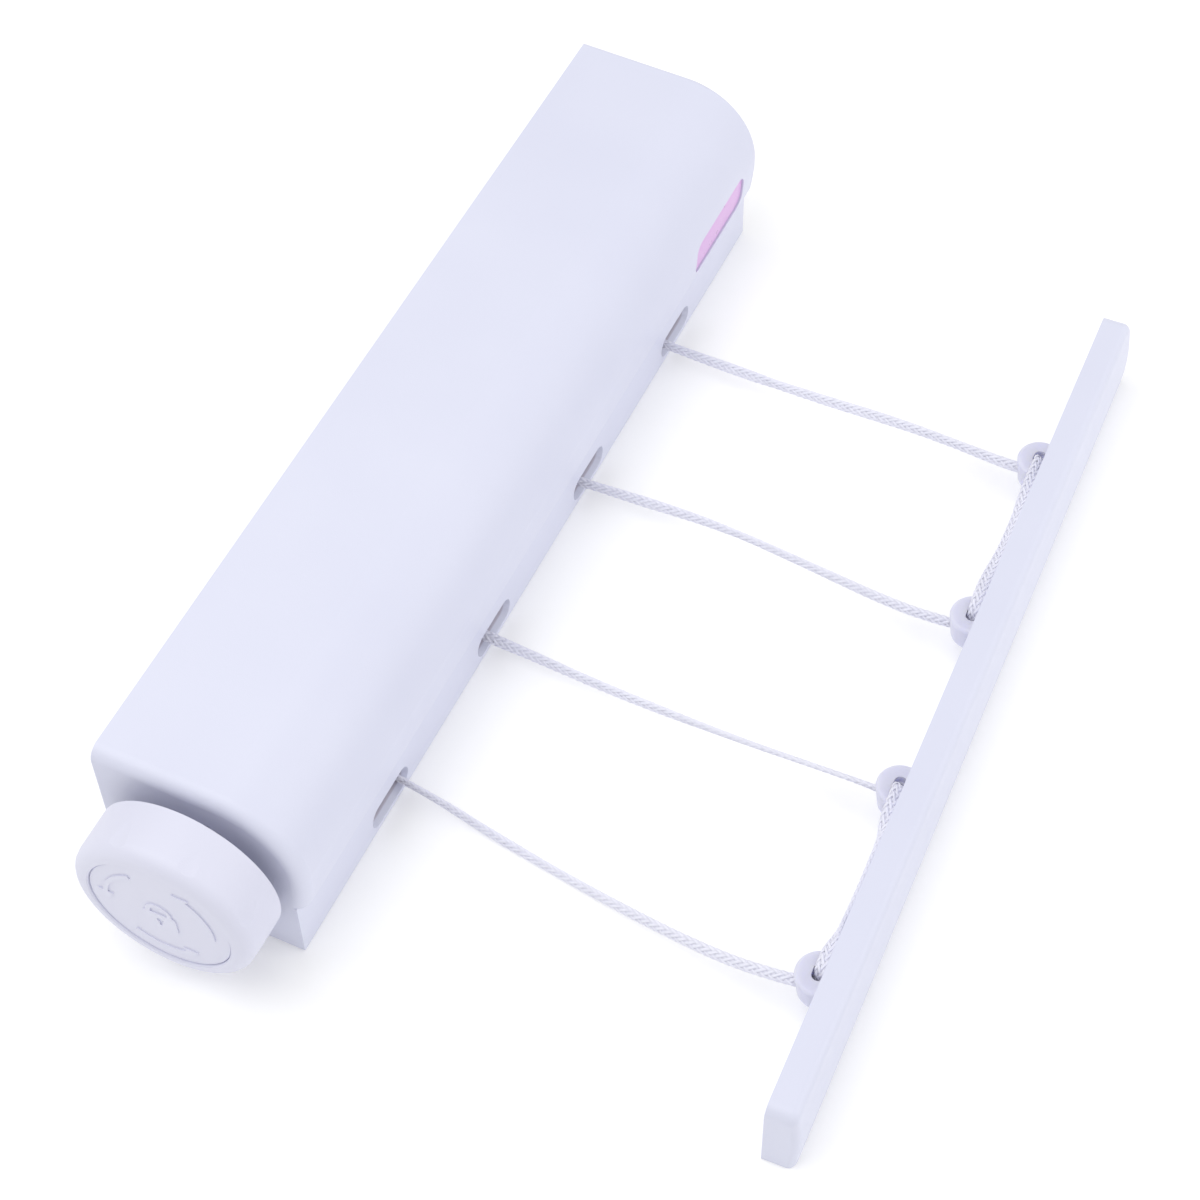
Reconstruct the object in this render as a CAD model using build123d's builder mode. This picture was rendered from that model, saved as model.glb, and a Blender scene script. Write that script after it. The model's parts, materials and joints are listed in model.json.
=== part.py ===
from build123d import *
import math
import os

# Retractable clothesline: a wall unit with four lines on a sprung drum, and the pull bar they end on.
# Frame: origin at the centre of the housing's underside, +X the way the lines run out,
# +Y along the housing from the knob end to the far end, +Z up. Millimetres.

# ---------------------------------------------------------------- driving dimensions

LENGTH = 330.0              # housing, end face to end face
HALF_LENGTH = LENGTH / 2
BASE_DEPTH = 62.6           # back face to the base's front face
BACK_X = -BASE_DEPTH / 2
FRONT_X = BASE_DEPTH / 2
LIP_Z = 24.5                # parting line between base and cover
WALL = 2.2
END_WALL = 2.5

ARC_X = 8.0                 # centre of the cover's large front curve
ARC_Z = 39.6
ARC_R = 27.4
LIP_ARC_R = 80.0            # flatter curve from the bulge down to the lip
TOP_SLOPE = 2.05            # degrees, the top face falls towards the front
NEAR_END_FILLET = 4.5
FAR_END_FILLET = 1.5

SLOT_PITCH = 71.3
SLOT_Y = [104.4 - SLOT_PITCH * i for i in range(4)]     # slot 1 is at the far end
SLOT_Z = 6.6
SLOT_LENGTH = 23.0
SLOT_HEIGHT = 8.6
SLOT_BEVEL = 1.3
COLLAR_DEPTH = 4.5          # moulded guide behind each slot
COLLAR_WALL = 1.7

BADGE_Y = 134.0             # badge window, in the bulge above the lip
BADGE_Z = 33.4
BADGE_LENGTH = 40.0
BADGE_HEIGHT = 14.2
BADGE_ROUND = 4.0
BADGE_RECESS = 0.7          # badge face below the cover's skin
BADGE_GAP = 0.06

AXIS_X = 2.2                # drum axis, parallel to Y
AXIS_Z = 39.5
CORD_D = 3.0
CORE_R = 14.0
FLANGE_R = 24.0
FLANGE_THICK = 1.8
WINDING_R = 19.0
RUN_FIT = 0.05              # radial clearance of a running fit

SCREW_X = 26.4              # case screws, in two rows
SCREW_BACK_Y = [-135.0, 7.5, 130.0]
SCREW_FRONT_Y = [-135.0, 7.5, 60.0]
SCREW_SPOTS = [(-SCREW_X, y) for y in SCREW_BACK_Y] + [(SCREW_X, y) for y in SCREW_FRONT_Y]
SCREW_SEAT_Z = 12.4
COLUMN_R = 4.5

KEYHOLE_SPACING = 240.0     # wall screws in the back
KEYHOLE_Z = 44.0
KEYHOLE_R = 4.5
KEYHOLE_SLOT_R = 2.3
KEYHOLE_RISE = 9.0

RING_SCREW_R = 19.3         # lock ring's screws
RING_FLANGE = 3.0

KNOB_R = 29.5
KNOB_REAR_Y = -171.9        # standing off the end face by its travel and a gap
KNOB_FRONT_Y = -190.4
KNOB_TRAVEL = 4.0
KNOB_SKIRT = 2.8
KNOB_FACE_R = 23.4
KNOB_ROUND = 4.8            # roll-over from the side to the face
SCALLOPS = 8
SCALLOP_R = 20.0
SCALLOP_START = 0.3         # short of the side at the rear, so each one runs out before the edge
SCALLOP_TAPER = 3.2         # degrees
NECK_R = 11.2               # knob's neck, through the end wall
TOOTH_COUNT = 24            # lock teeth, on the neck and inside the lock ring
NECK_TOOTH_R = 13.6
NECK_TOOTH_WIDTH = 6.0      # degrees
RING_TOOTH_R = 12.0
RING_TOOTH_WIDTH = 6.5
RING_ROOT_R = 14.2
HEX_FLATS = 12.0

BAR_LENGTH = 322.6
BAR_HEIGHT = 29.8
BAR_DEPTH = 10.8
BAR_WALL = 1.8
BAR_X = 175.9               # inner face of the bar at its middle
BAR_Y = -8.1
BAR_YAW = 1.95              # degrees, the bar lies slightly askew
EYELET_PITCH = 69.5
EYELET_SHIFT = -6.5         # the eyelets' middle, from the bar's middle
EYELET_TOP = 22.0
EYELET_HEIGHT = 10.9
EYELET_R = 7.8
EYELET_REACH = 9.7          # from the bar's inner face
EYELET_HOLE_Z = 14.6
EYELET_HOLE_R = 2.1
EYELET_HOLE_REACH = 2.3     # upright hole, from the bar's inner face
EYELET_MOUTH_R = 3.1        # flare of the level hole, and how deep it goes
EYELET_MOUTH_DEPTH = 3.5
EYELET_SLOT_LENGTH = 5.8    # the upright hole opens into a short slot along the bar
EYELET_SLOT_DEPTH = 2.6
EYELET_TAPER = 1.3
EYELET_ROUND = 1.2
EYELET_TURN_R = 4.1         # inside each eyelet the cord turns from level to upright

os.makedirs("parts", exist_ok=True)


def save(piece, name):
    """Label a finished piece and write it under its node name."""
    piece.label = name
    export_step(piece, f"parts/{name}.step")


def end_plane(y):
    """Plane across the drum axis at y, local X to the right, local Y up, normal towards the knob."""
    return Plane(origin=(AXIS_X, y, AXIS_Z), x_dir=(1, 0, 0), z_dir=(0, -1, 0))


# ---------------------------------------------------------------- housing

def cover_section(inset, low_z):
    """The cover's section across its length, inset from its outer skin, down to low_z."""
    slope = math.radians(TOP_SLOPE)
    radius = ARC_R - inset
    back = BACK_X + inset
    crest_x = ARC_X + radius * math.sin(slope)
    crest_z = ARC_Z + radius * math.cos(slope)
    back_top_z = crest_z + (crest_x - back) * math.tan(slope)
    lip_radius = LIP_ARC_R - inset
    lip_centre_x = ARC_X + ARC_R - LIP_ARC_R
    lip_angle = math.asin((ARC_Z - low_z) / lip_radius)
    lip_x = lip_centre_x + lip_radius * math.cos(lip_angle)
    with BuildSketch() as section:
        with BuildLine():
            Line((back, low_z), (back, back_top_z))
            Line((back, back_top_z), (crest_x, crest_z))
            CenterArc((ARC_X, ARC_Z), radius, 90 - TOP_SLOPE, -(90 - TOP_SLOPE))
            CenterArc((lip_centre_x, ARC_Z), lip_radius, 0, -math.degrees(lip_angle))
            Line((lip_x, low_z), (back, low_z))
        make_face()
    return section.sketch


def badge_window(gap):
    """Outline of the badge in the front view, smaller all round by gap."""
    with BuildSketch() as window:
        with Locations((BADGE_Y, BADGE_Z)):
            RectangleRounded(BADGE_LENGTH - 2 * gap, BADGE_HEIGHT - 2 * gap, BADGE_ROUND)
    return window.sketch


with BuildPart() as housing_cover:
    with BuildSketch(Plane.XZ):
        add(cover_section(0, LIP_Z))
    extrude(amount=HALF_LENGTH, both=True)
    near_edges = housing_cover.faces().sort_by(Axis.Y)[0].edges().sort_by(Axis.Z)
    fillet([edge for edge in near_edges[1:] if edge.center().X > BACK_X + 1], NEAR_END_FILLET)
    far_edges = housing_cover.faces().sort_by(Axis.Y)[-1].edges().sort_by(Axis.Z)
    fillet([edge for edge in far_edges[1:] if edge.center().X > BACK_X + 1], FAR_END_FILLET)
    with BuildSketch(Plane.XZ):
        add(cover_section(WALL, LIP_Z - 1))
    extrude(amount=HALF_LENGTH - END_WALL, both=True, mode=Mode.SUBTRACT)
    # screw bosses, webbed to the walls
    boss_height = 6.5
    for x, y in SCREW_SPOTS:
        outer = BACK_X + 1.2 if x < 0 else FRONT_X + 1.4
        inner = x + 3.5 if x < 0 else x - 3.5
        with BuildSketch(Plane.XY.offset(LIP_Z)):
            with Locations(((inner + outer) / 2, y)):
                Rectangle(abs(outer - inner), 7.0)
        extrude(amount=boss_height)
    with BuildSketch(Plane.XY.offset(LIP_Z)):
        with Locations(*SCREW_SPOTS):
            Circle(1.5)
    extrude(amount=boss_height - 1, mode=Mode.SUBTRACT)
    # hole for the knob's neck, and pilot holes for the lock ring's screws
    with BuildSketch(end_plane(-HALF_LENGTH)):
        Circle(RING_ROOT_R + 0.1)
    extrude(amount=-END_WALL - 1, mode=Mode.SUBTRACT)
    with BuildSketch(end_plane(-HALF_LENGTH + 0.8)):
        with PolarLocations(RING_SCREW_R, 3, start_angle=90):
            Circle(1.1)
    extrude(amount=-END_WALL, mode=Mode.SUBTRACT)
    # window for the badge
    with BuildSketch(Plane.YZ.offset(FRONT_X - 3)):
        add(badge_window(0))
    extrude(amount=10, mode=Mode.SUBTRACT)
    # keyholes for the wall screws
    for side in (-1, 1):
        with BuildSketch(Plane.YZ.offset(BACK_X - 1)):
            with Locations((side * KEYHOLE_SPACING / 2, KEYHOLE_Z)):
                Circle(KEYHOLE_R)
            with Locations((side * KEYHOLE_SPACING / 2, KEYHOLE_Z + KEYHOLE_RISE / 2)):
                Rectangle(2 * KEYHOLE_SLOT_R, KEYHOLE_RISE)
            with Locations((side * KEYHOLE_SPACING / 2, KEYHOLE_Z + KEYHOLE_RISE)):
                Circle(KEYHOLE_SLOT_R)
        extrude(amount=WALL + 2, mode=Mode.SUBTRACT)
save(housing_cover.part, "housing_cover")

with BuildPart() as housing_base:
    with BuildSketch():
        Rectangle(BASE_DEPTH, LENGTH)
    extrude(amount=LIP_Z)
    bottom_edges = housing_base.faces().sort_by(Axis.Z)[0].edges()
    chamfer(bottom_edges, 0.6)
    with BuildSketch(Plane.XY.offset(WALL)):
        Rectangle(BASE_DEPTH - 2 * WALL, LENGTH - 2 * END_WALL)
    extrude(amount=LIP_Z, mode=Mode.SUBTRACT)
    # collars behind the slots, standing on the floor
    with BuildSketch(Plane.YZ.offset(FRONT_X - WALL)):
        with Locations(*[(y, SLOT_Z) for y in SLOT_Y]):
            SlotOverall(SLOT_LENGTH + COLLAR_WALL, SLOT_HEIGHT + COLLAR_WALL)
    extrude(amount=-COLLAR_DEPTH)
    # screw columns
    with BuildSketch(Plane.XY.offset(WALL)):
        with Locations(*SCREW_SPOTS):
            Circle(COLUMN_R)
    extrude(amount=LIP_Z - WALL)
    with BuildSketch():
        with Locations(*SCREW_SPOTS):
            Circle(3.1)
    extrude(amount=SCREW_SEAT_Z, mode=Mode.SUBTRACT)
    with BuildSketch():
        with Locations(*SCREW_SPOTS):
            Circle(1.7)
    extrude(amount=LIP_Z + 1, mode=Mode.SUBTRACT)
    # tabs that locate the cover
    for y in (-95.0, -20.0, 60.0):
        with Locations((BACK_X + WALL + 0.9, y, LIP_Z - 2.5)):
            Box(1.8, 20.0, 5.0)
        with Locations((BACK_X + WALL + 1.05, y, LIP_Z + 1.2)):
            Box(1.5, 20.0, 2.6)
    # the slots, bevelled towards the front
    with BuildSketch(Plane.YZ.offset(FRONT_X + 1)):
        with Locations(*[(y, SLOT_Z) for y in SLOT_Y]):
            SlotOverall(SLOT_LENGTH - 2 * SLOT_BEVEL, SLOT_HEIGHT - 2 * SLOT_BEVEL)
    extrude(amount=-COLLAR_DEPTH - WALL - 2, mode=Mode.SUBTRACT)
    for y in SLOT_Y:
        with BuildSketch(Plane.YZ.offset(FRONT_X)):
            with Locations((y, SLOT_Z)):
                SlotOverall(SLOT_LENGTH, SLOT_HEIGHT)
        with BuildSketch(Plane.YZ.offset(FRONT_X - 2 * SLOT_BEVEL)):
            with Locations((y, SLOT_Z)):
                SlotOverall(SLOT_LENGTH - 2 * SLOT_BEVEL, SLOT_HEIGHT - 2 * SLOT_BEVEL)
        loft(mode=Mode.SUBTRACT)
save(housing_base.part, "housing_base")

# the badge follows the cover's curve, set in below its skin
with BuildPart() as badge:
    with BuildSketch(Plane.XZ.offset(-BADGE_Y)):
        add(cover_section(BADGE_RECESS, LIP_Z))
        add(cover_section(WALL, LIP_Z - 1), mode=Mode.SUBTRACT)
    extrude(amount=BADGE_LENGTH / 2, both=True)
    with BuildSketch(Plane.YZ.offset(FRONT_X - 3)):
        add(badge_window(BADGE_GAP))
    extrude(amount=10, mode=Mode.INTERSECT)
save(badge.part, "badge")

with BuildPart() as case_screws:
    with BuildSketch(Plane.XY.offset(SCREW_SEAT_Z - 2.2)):
        with Locations(*SCREW_SPOTS):
            Circle(2.8)
    extrude(amount=2.2)
    with BuildSketch(Plane.XY.offset(SCREW_SEAT_Z)):
        with Locations(*SCREW_SPOTS):
            Circle(1.45)
    extrude(amount=16.0)
    with BuildSketch(Plane.XY.offset(SCREW_SEAT_Z - 2.2)):
        with Locations(*SCREW_SPOTS):
            Rectangle(3.2, 0.6)
            Rectangle(0.6, 3.2)
    extrude(amount=1.2, mode=Mode.SUBTRACT)
save(case_screws.part, "case_screws")

# ---------------------------------------------------------------- lock ring and bearings

RING_Y = -HALF_LENGTH + END_WALL       # inner face of the near end wall
JOURNAL_R = 9.0
JOURNAL_END_Y = -157.0
SPLINE_END_Y = -157.5
RING_END_Y = -152.0
CUP_R = 23.5
CUP_Y = 147.0
CUP_BACK_Y = HALF_LENGTH - END_WALL
SHAFT_R = 3.0
ARBOR_R = 6.0
ARBOR_END_Y = 158.0


def teeth(r_in, r_out, width, start_angle):
    """A ring of lock teeth between two radii; width is in degrees."""
    half = math.radians(width / 2)
    corners = [
        (r_in * math.cos(half), -r_in * math.sin(half)),
        (r_out * math.cos(half), -r_out * math.sin(half)),
        (r_out * math.cos(half), r_out * math.sin(half)),
        (r_in * math.cos(half), r_in * math.sin(half)),
    ]
    with BuildSketch() as ring:
        with PolarLocations(0, TOOTH_COUNT, start_angle=start_angle):
            Polygon(*corners, align=None)
    return ring.sketch


with BuildPart() as lock_ring:
    with BuildSketch(end_plane(RING_Y)):
        Circle(22.0)
    extrude(amount=-RING_FLANGE)
    with BuildSketch(end_plane(RING_Y)):
        Circle(16.5)
    extrude(amount=RING_Y - RING_END_Y)
    with BuildSketch(end_plane(RING_Y)):
        Circle(RING_ROOT_R)
    extrude(amount=RING_Y - SPLINE_END_Y, mode=Mode.SUBTRACT)
    with BuildSketch(end_plane(RING_Y)):
        Circle(JOURNAL_R + 2.0)
    extrude(amount=RING_Y - RING_END_Y, mode=Mode.SUBTRACT)
    with BuildSketch(end_plane(RING_Y)):
        add(teeth(RING_TOOTH_R, RING_ROOT_R + 0.5, RING_TOOTH_WIDTH, 0))
    extrude(amount=RING_Y - SPLINE_END_Y)
    with BuildSketch(end_plane(RING_Y)):
        with PolarLocations(RING_SCREW_R, 3, start_angle=90):
            Circle(1.1)
    extrude(amount=-RING_FLANGE, mode=Mode.SUBTRACT)
save(lock_ring.part, "lock_ring")

with BuildPart() as lock_ring_screws:
    with BuildSketch(end_plane(RING_Y + RING_FLANGE)):
        with PolarLocations(RING_SCREW_R, 3, start_angle=90):
            Circle(1.9)
    extrude(amount=-1.3)
    with BuildSketch(end_plane(RING_Y + RING_FLANGE)):
        with PolarLocations(RING_SCREW_R, 3, start_angle=90):
            Circle(1.05)
    extrude(amount=RING_FLANGE + 1.4)
save(lock_ring_screws.part, "lock_ring_screws")

with BuildPart() as bush_near:
    with BuildSketch(end_plane(SPLINE_END_Y)):
        Circle(JOURNAL_R + 2.0)
        Circle(JOURNAL_R + RUN_FIT, mode=Mode.SUBTRACT)
    extrude(amount=SPLINE_END_Y - RING_END_Y)
save(bush_near.part, "bush_near")

with BuildPart() as spring_cup:
    with BuildSketch(end_plane(CUP_Y)):
        Circle(CUP_R)
        Circle(CUP_R - 1.6, mode=Mode.SUBTRACT)
    extrude(amount=CUP_Y - CUP_BACK_Y)
    with BuildSketch(end_plane(CUP_BACK_Y - 1.5)):
        Circle(CUP_R)
    extrude(amount=-1.5)
    with BuildSketch(end_plane(ARBOR_END_Y + 0.5)):
        Circle(SHAFT_R + 4.0)
    extrude(amount=ARBOR_END_Y + 0.5 - CUP_BACK_Y)
    with BuildSketch(end_plane(ARBOR_END_Y + 0.5)):
        Circle(SHAFT_R + 2.0)
    extrude(amount=ARBOR_END_Y + 1.3 - CUP_BACK_Y, mode=Mode.SUBTRACT)
save(spring_cup.part, "spring_cup")

with BuildPart() as bush_far:
    with BuildSketch(end_plane(ARBOR_END_Y + 0.5)):
        Circle(SHAFT_R + 2.0)
        Circle(SHAFT_R + RUN_FIT, mode=Mode.SUBTRACT)
    extrude(amount=ARBOR_END_Y + 1.3 - CUP_BACK_Y)
save(bush_far.part, "bush_far")

with BuildPart() as spring_cover:
    with BuildSketch(end_plane(CUP_Y)):
        Circle(CUP_R)
        Circle(ARBOR_R + 1.0, mode=Mode.SUBTRACT)
    extrude(amount=1.5)
save(spring_cover.part, "spring_cover")

SPRING_TURNS = 9
SPRING_R_IN = ARBOR_R + 0.3
SPRING_R_OUT = CUP_R - 2.2
SPRING_THICK = 0.5


def spiral(extra):
    """Points of the spring's spiral, moved out by extra, twelve to a turn."""
    steps = SPRING_TURNS * 12
    points = []
    for i in range(steps + 1):
        angle = math.radians(30 * i)
        radius = SPRING_R_IN + extra + (SPRING_R_OUT - SPRING_R_IN - SPRING_THICK) * i / steps
        points.append((radius * math.cos(angle), radius * math.sin(angle)))
    return points


with BuildPart() as power_spring:
    with BuildSketch(end_plane(CUP_Y + 1.5)):
        with BuildLine():
            inner = Spline(*spiral(0))
            outer = Spline(*spiral(SPRING_THICK))
            Line(inner @ 0, outer @ 0)
            Line(inner @ 1, outer @ 1)
        make_face()
    extrude(amount=-9.0)
save(power_spring.part, "power_spring")

# ---------------------------------------------------------------- drum

FLANGE_Y = [SLOT_Y[0] + SLOT_PITCH / 2 - SLOT_PITCH * i for i in range(5)]     # flange 1 is at the far end
TUBE_NEAR_Y = FLANGE_Y[-1] - FLANGE_THICK / 2
TUBE_FAR_Y = FLANGE_Y[0] + FLANGE_THICK / 2
TUBE_BORE_R = 11.5
SOCKET_END_Y = -144.5
PLUG_DEPTH = 12.0

with BuildPart() as drum_tube:
    with BuildSketch(end_plane(TUBE_NEAR_Y)):
        Circle(CORE_R)
        Circle(TUBE_BORE_R, mode=Mode.SUBTRACT)
    extrude(amount=TUBE_NEAR_Y - TUBE_FAR_Y)
save(drum_tube.part, "drum_tube")

for number, y in enumerate(FLANGE_Y, start=1):
    with BuildPart() as drum_flange:
        with BuildSketch(end_plane(y + FLANGE_THICK / 2)):
            Circle(FLANGE_R)
            Circle(CORE_R, mode=Mode.SUBTRACT)
        extrude(amount=FLANGE_THICK)
        rims = drum_flange.edges().filter_by(GeomType.CIRCLE).group_by(SortBy.RADIUS)[-1]
        fillet(rims, 0.5)
    save(drum_flange.part, f"drum_flange_{number}")

with BuildPart() as drum_hub_near:
    with BuildSketch(end_plane(TUBE_NEAR_Y + PLUG_DEPTH)):
        Circle(TUBE_BORE_R)
    extrude(amount=PLUG_DEPTH)
    with BuildSketch(end_plane(TUBE_NEAR_Y)):
        Circle(CORE_R)
    extrude(amount=2.0)
    with BuildSketch(end_plane(TUBE_NEAR_Y - 2.0)):
        Circle(JOURNAL_R)
    extrude(amount=TUBE_NEAR_Y - 2.0 - JOURNAL_END_Y)
    with BuildSketch(end_plane(JOURNAL_END_Y)):
        RegularPolygon(HEX_FLATS / 2, 6, major_radius=False)
    extrude(amount=JOURNAL_END_Y - SOCKET_END_Y, mode=Mode.SUBTRACT)
    with BuildSketch(end_plane(SOCKET_END_Y)):
        Circle(2.05)
    extrude(amount=-6.5, mode=Mode.SUBTRACT)
    with BuildSketch(end_plane(SOCKET_END_Y + 6.5)):
        Circle(SHAFT_R)
    extrude(amount=-10.0, mode=Mode.SUBTRACT)
save(drum_hub_near.part, "drum_hub_near")

with BuildPart() as drum_hub_far:
    with BuildSketch(end_plane(TUBE_FAR_Y)):
        Circle(TUBE_BORE_R)
    extrude(amount=PLUG_DEPTH)
    with BuildSketch(end_plane(TUBE_FAR_Y)):
        Circle(CORE_R)
    extrude(amount=-2.0)
    with BuildSketch(end_plane(TUBE_FAR_Y + 2.0)):
        Circle(ARBOR_R)
    extrude(amount=TUBE_FAR_Y + 2.0 - ARBOR_END_Y)
    with BuildSketch(end_plane(ARBOR_END_Y)):
        with Locations((ARBOR_R / 2 + SHAFT_R / 2, 0)):
            Rectangle(ARBOR_R - SHAFT_R + 1, 0.9)
    extrude(amount=ARBOR_END_Y - CUP_Y - 1.0, mode=Mode.SUBTRACT)
    with BuildSketch(end_plane(TUBE_FAR_Y - PLUG_DEPTH)):
        Circle(SHAFT_R)
    extrude(amount=TUBE_FAR_Y - PLUG_DEPTH - ARBOR_END_Y, mode=Mode.SUBTRACT)
save(drum_hub_far.part, "drum_hub_far")

with BuildPart() as drum_shaft:
    with BuildSketch(end_plane(SOCKET_END_Y + 6.5)):
        Circle(SHAFT_R)
    extrude(amount=SOCKET_END_Y + 6.5 - (CUP_BACK_Y - 1.2))
    chamfer(drum_shaft.edges(), 0.4)
save(drum_shaft.part, "drum_shaft")

WINDING_HALF = SLOT_PITCH / 2 - FLANGE_THICK / 2 - 6.0

for number, y in enumerate(SLOT_Y, start=1):
    with BuildPart() as cord_winding:
        with BuildSketch(end_plane(y + WINDING_HALF)):
            Circle(WINDING_R)
            Circle(CORE_R, mode=Mode.SUBTRACT)
        extrude(amount=2 * WINDING_HALF)
        ends = cord_winding.edges().filter_by(GeomType.CIRCLE).group_by(SortBy.RADIUS)[-1]
        fillet(ends, CORD_D / 2)
    save(cord_winding.part, f"cord_winding_{number}")

# ---------------------------------------------------------------- knob

KNOB_WALL = 3.0
NECK_END_Y = -163.0
NECK_TEETH = 4.0
STEM_END_Y = -150.0
HEAD_SEAT_Y = -181.0
CAP_DEPTH = 1.8
CAP_SET_IN = 0.7            # cap face below the knob's rim
CAP_RELIEF = 0.45           # raised signs on the cap
CAP_CHAMFER = 0.4
KNOB_SCREW_R = 2.6          # passage of the knob's screw, and the seat of its head
SCREW_HEAD_R = 5.2

with BuildPart() as knob:
    with BuildSketch(end_plane(KNOB_REAR_Y)):
        Circle(KNOB_R)
    extrude(amount=KNOB_REAR_Y - KNOB_FRONT_Y)
    fillet(knob.faces().sort_by(Axis.Y)[0].edges(), KNOB_ROUND)
    # broad shallow scallops for the fingers, open at the face side
    with BuildSketch(end_plane(KNOB_REAR_Y - 2.0)):
        with PolarLocations(KNOB_R + SCALLOP_R + SCALLOP_START, SCALLOPS, start_angle=22.5):
            Circle(SCALLOP_R)
    extrude(amount=KNOB_REAR_Y - KNOB_FRONT_Y, taper=-SCALLOP_TAPER, mode=Mode.SUBTRACT)
    # recess for the face disc
    with BuildSketch(end_plane(KNOB_FRONT_Y)):
        Circle(KNOB_FACE_R)
    extrude(amount=-CAP_DEPTH, mode=Mode.SUBTRACT)
    rim_circles = knob.faces().sort_by(Axis.Y)[0].edges().filter_by(GeomType.CIRCLE)
    chamfer(rim_circles.sort_by(SortBy.RADIUS)[0], CAP_CHAMFER)
    # hollow skirt
    with BuildSketch(end_plane(KNOB_REAR_Y)):
        Circle(KNOB_R - KNOB_SKIRT - 1.2)
    extrude(amount=KNOB_REAR_Y - KNOB_FRONT_Y - KNOB_WALL - CAP_DEPTH, mode=Mode.SUBTRACT)
    # neck with its lock teeth
    with BuildSketch(end_plane(NECK_END_Y)):
        Circle(NECK_R)
    extrude(amount=NECK_END_Y - KNOB_FRONT_Y - KNOB_WALL)
    with BuildSketch(end_plane(NECK_END_Y)):
        add(teeth(NECK_R - 0.8, NECK_TOOTH_R, NECK_TOOTH_WIDTH, 180 / TOOTH_COUNT))
    extrude(amount=NECK_TEETH)
    # hexagon stem
    with BuildSketch(end_plane(STEM_END_Y)):
        RegularPolygon(HEX_FLATS / 2 - 0.1, 6, major_radius=False)
    extrude(amount=STEM_END_Y - NECK_END_Y)
    # screw passage and the seat of the screw's head
    with BuildSketch(end_plane(STEM_END_Y)):
        Circle(KNOB_SCREW_R)
    extrude(amount=STEM_END_Y - KNOB_FRONT_Y, mode=Mode.SUBTRACT)
    with BuildSketch(end_plane(HEAD_SEAT_Y)):
        Circle(SCREW_HEAD_R)
    extrude(amount=HEAD_SEAT_Y - KNOB_FRONT_Y, mode=Mode.SUBTRACT)
save(knob.part, "knob")

ARROW_R = 17.6
ARROW_WIDTH = 1.5
ARROW_SWEEP = 58.0          # degrees, up to the head
ARROW_HEAD = 2.5            # half the head's width
ARROW_HEAD_SWEEP = 15.0


def turn_arrow():
    """A curved arrow about the knob's axis, starting on the local X axis."""
    with BuildSketch() as arrow:
        with BuildLine():
            outer = CenterArc((0, 0), ARROW_R + ARROW_WIDTH / 2, 0, ARROW_SWEEP)
            inner = CenterArc((0, 0), ARROW_R - ARROW_WIDTH / 2, 0, ARROW_SWEEP)
            Line(outer @ 0, inner @ 0)
            Line(outer @ 1, inner @ 1)
        make_face()
        base = math.radians(ARROW_SWEEP)
        tip = math.radians(ARROW_SWEEP + ARROW_HEAD_SWEEP)
        with BuildLine():
            Polyline(
                ((ARROW_R - ARROW_HEAD) * math.cos(base), (ARROW_R - ARROW_HEAD) * math.sin(base)),
                ((ARROW_R + ARROW_HEAD) * math.cos(base), (ARROW_R + ARROW_HEAD) * math.sin(base)),
                (ARROW_R * math.cos(tip), ARROW_R * math.sin(tip)),
                close=True,
            )
        make_face()
    return arrow.sketch


LOCK_WIDTH = 11.0           # padlock sign: body, shackle and keyhole
LOCK_HEIGHT = 8.0
LOCK_TOP = 1.0              # top of the body, above the knob's axis
LOCK_ROUND = 1.2
SHACKLE_R = 3.6
SHACKLE_WIDTH = 1.5
KEYHOLE_EYE_R = 1.1
KEYHOLE_EYE_Z = -2.4
KEYHOLE_LEG = (0.9, 2.6)
KEYHOLE_LEG_Z = -3.8


def padlock():
    """A padlock sign, centred on the knob's axis."""
    with BuildSketch() as sign:
        with Locations((0, SHACKLE_WIDTH)):
            Circle(SHACKLE_R + SHACKLE_WIDTH / 2)
            Circle(SHACKLE_R - SHACKLE_WIDTH / 2, mode=Mode.SUBTRACT)
        with Locations((0, LOCK_TOP - LOCK_HEIGHT / 2)):
            RectangleRounded(LOCK_WIDTH, LOCK_HEIGHT, LOCK_ROUND)
        with Locations((0, KEYHOLE_EYE_Z)):
            Circle(KEYHOLE_EYE_R, mode=Mode.SUBTRACT)
        with Locations((0, KEYHOLE_LEG_Z)):
            Rectangle(*KEYHOLE_LEG, mode=Mode.SUBTRACT)
    return sign.sketch


with BuildPart() as knob_cap:
    with BuildSketch(end_plane(KNOB_FRONT_Y + CAP_DEPTH)):
        Circle(KNOB_FACE_R - 0.05)
    extrude(amount=CAP_DEPTH - CAP_SET_IN)
    chamfer(knob_cap.faces().sort_by(Axis.Y)[0].edges(), CAP_CHAMFER)
    with BuildSketch(end_plane(KNOB_FRONT_Y + CAP_SET_IN)):
        add(padlock())
        for turn in (-5, 115, 235):
            add(turn_arrow(), rotation=turn)
    extrude(amount=CAP_RELIEF)
save(knob_cap.part, "knob_cap")

with BuildPart() as knob_screw:
    with BuildSketch(end_plane(HEAD_SEAT_Y - 0.3)):
        Circle(4.6)
    extrude(amount=2.4)
    with BuildSketch(end_plane(HEAD_SEAT_Y - 0.3)):
        Circle(2.4)
    extrude(amount=HEAD_SEAT_Y - 0.3 - SOCKET_END_Y)
    with BuildSketch(end_plane(SOCKET_END_Y)):
        Circle(2.0)
    extrude(amount=-5.5)
    with BuildSketch(end_plane(HEAD_SEAT_Y - 0.3 - 2.4)):
        Rectangle(5.0, 1.0)
        Rectangle(1.0, 5.0)
    extrude(amount=-1.4, mode=Mode.SUBTRACT)
save(knob_screw.part, "knob_screw")

# ---------------------------------------------------------------- pull bar

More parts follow.
